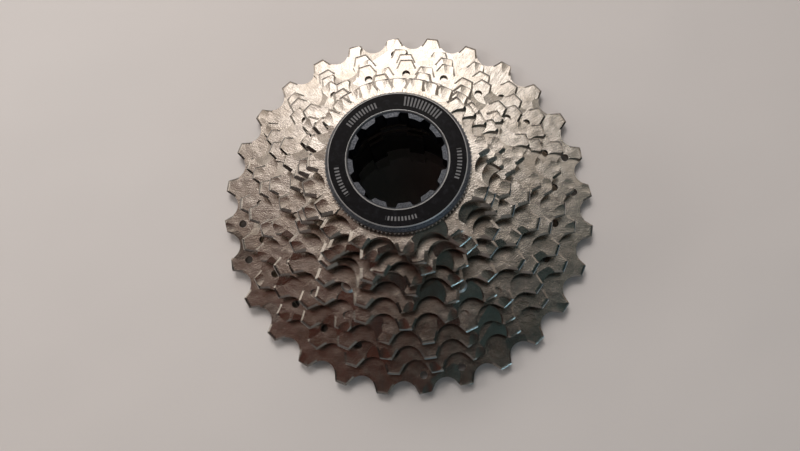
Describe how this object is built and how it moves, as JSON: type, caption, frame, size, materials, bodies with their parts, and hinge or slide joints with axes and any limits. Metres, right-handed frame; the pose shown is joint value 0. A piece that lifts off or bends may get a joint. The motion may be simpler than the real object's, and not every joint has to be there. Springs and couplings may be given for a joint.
{
  "type": "bicycle cassette sprocket",
  "caption": "Bicycle rear cassette: a stepped stack of toothed sprockets on spline hubs, held by a splined lockring.",
  "frame": {"origin": "on the axis, in the back face of the large-sprocket carrier's hub, which the stack rests on", "axes": "+Z along the axis towards the lockring and the smallest sprocket; +X through the narrow spline key"},
  "size_m": [0.1136, 0.1136, 0.0437],
  "materials": {
    "plated_steel": "satin nickel plating over stamped steel",
    "carrier_alloy": "blasted aluminium",
    "carrier_composite": "moulded fibre-filled composite",
    "rivet_steel": "pressed steel",
    "spacer_black": "moulded",
    "washer_steel": "pressed, serrated rim",
    "lockring_black": "black anodised face with a bare bevelled rim"
  },
  "bodies": {
    "low_unit": {"carrier_low": "carrier_alloy", "sprocket_28t": "plated_steel", "sprocket_25t": "plated_steel", "rivets_low": "rivet_steel"},
    "mid_unit": {"carrier_mid": "carrier_composite", "sprocket_23t": "plated_steel", "sprocket_21t": "plated_steel", "sprocket_19t": "plated_steel", "rivets_mid": "rivet_steel"},
    "spacer_19_17_body": {"spacer_19_17": "spacer_black"},
    "sprocket_17t_body": {"sprocket_17t": "plated_steel"},
    "spacer_17_15_body": {"spacer_17_15": "spacer_black"},
    "sprocket_15t_body": {"sprocket_15t": "plated_steel"},
    "spacer_15_14_body": {"spacer_15_14": "spacer_black"},
    "sprocket_14t_body": {"sprocket_14t": "plated_steel"},
    "spacer_14_13_body": {"spacer_14_13": "spacer_black"},
    "sprocket_13t_body": {"sprocket_13t": "plated_steel"},
    "sprocket_12t_body": {"sprocket_12t": "plated_steel"},
    "sprocket_11t_body": {"sprocket_11t": "plated_steel"},
    "washer_body": {"lockring_washer": "washer_steel"},
    "lockring_body": {"lockring": "lockring_black"}
  },
  "joints": [
    {"name": "mid_unit_slide", "type": "slide", "parent": "low_unit", "child": "mid_unit", "axis": [0, 0, 1], "range_m": [0, 0.02]},
    {"name": "spacer_19_17_slide", "type": "slide", "parent": "mid_unit", "child": "spacer_19_17_body", "axis": [0, 0, 1], "range_m": [0, 0.006]},
    {"name": "sprocket_17t_slide", "type": "slide", "parent": "spacer_19_17_body", "child": "sprocket_17t_body", "axis": [0, 0, 1], "range_m": [0, 0.012]},
    {"name": "spacer_17_15_slide", "type": "slide", "parent": "sprocket_17t_body", "child": "spacer_17_15_body", "axis": [0, 0, 1], "range_m": [0, 0.006]},
    {"name": "sprocket_15t_slide", "type": "slide", "parent": "spacer_17_15_body", "child": "sprocket_15t_body", "axis": [0, 0, 1], "range_m": [0, 0.012]},
    {"name": "spacer_15_14_slide", "type": "slide", "parent": "sprocket_15t_body", "child": "spacer_15_14_body", "axis": [0, 0, 1], "range_m": [0, 0.006]},
    {"name": "sprocket_14t_slide", "type": "slide", "parent": "spacer_15_14_body", "child": "sprocket_14t_body", "axis": [0, 0, 1], "range_m": [0, 0.012]},
    {"name": "spacer_14_13_slide", "type": "slide", "parent": "sprocket_14t_body", "child": "spacer_14_13_body", "axis": [0, 0, 1], "range_m": [0, 0.006]},
    {"name": "sprocket_13t_slide", "type": "slide", "parent": "spacer_14_13_body", "child": "sprocket_13t_body", "axis": [0, 0, 1], "range_m": [0, 0.012]},
    {"name": "sprocket_12t_slide", "type": "slide", "parent": "sprocket_13t_body", "child": "sprocket_12t_body", "axis": [0, 0, 1], "range_m": [0, 0.012]},
    {"name": "sprocket_11t_slide", "type": "slide", "parent": "sprocket_12t_body", "child": "sprocket_11t_body", "axis": [0, 0, 1], "range_m": [0, 0.012]},
    {"name": "lockring_rise", "type": "slide", "parent": "sprocket_11t_body", "child": "washer_body", "axis": [0, 0, 1], "range_m": [0, 0.0085]},
    {"name": "lockring_turn", "type": "hinge", "parent": "washer_body", "child": "lockring_body", "pos_m": [0, 0, 0.0422], "axis": [0, 0, 1], "range_deg": [0, 2520]}
  ],
  "couplings": [
    {"joint": "lockring_rise", "follows": "lockring_turn", "m_per_rad": 0.00016839}
  ]
}
